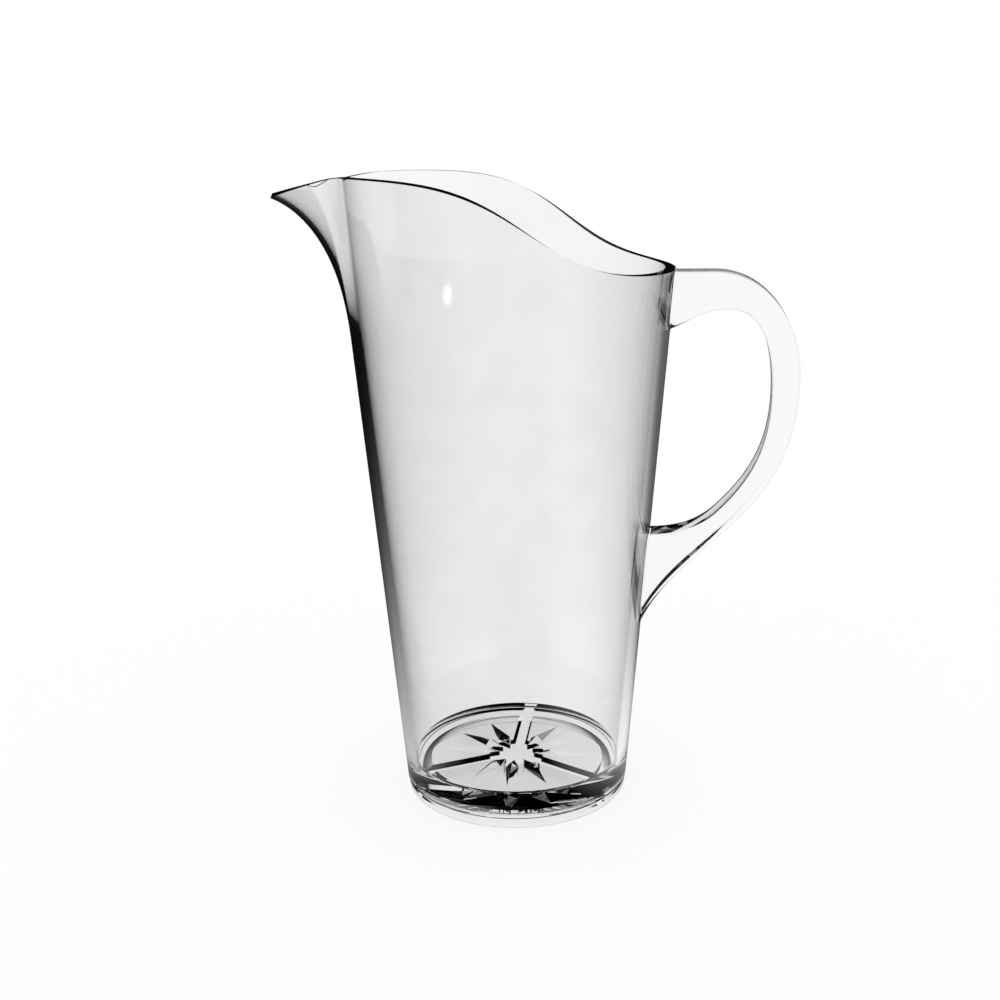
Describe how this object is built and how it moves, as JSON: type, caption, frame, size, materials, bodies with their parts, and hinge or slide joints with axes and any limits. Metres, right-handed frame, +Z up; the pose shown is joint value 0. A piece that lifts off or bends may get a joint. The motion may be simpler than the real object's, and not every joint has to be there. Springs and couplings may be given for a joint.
{
  "type": "water pitcher",
  "caption": "Tall clear plastic water pitcher: tapered wall with a wave-shaped rim and pouring lip, thick star-cut base and a bonded loop handle.",
  "frame": {"origin": "on the wall's axis at table level, in the middle of the base's underside", "axes": "+Z up along the wall's axis, +X towards the handle, -X towards the pouring lip, +Y square to both"},
  "size_m": [0.2057, 0.1336, 0.2532],
  "materials": {
    "clear_wall": "clear moulded plastic, polished inside and out",
    "clear_base": "clear moulded plastic, polished, thick section",
    "clear_handle": "clear moulded plastic, polished, solid section"
  },
  "bodies": {
    "root": {"body_shell": "clear_wall", "star_base": "clear_base", "handle": "clear_handle"}
  },
  "joints": []
}
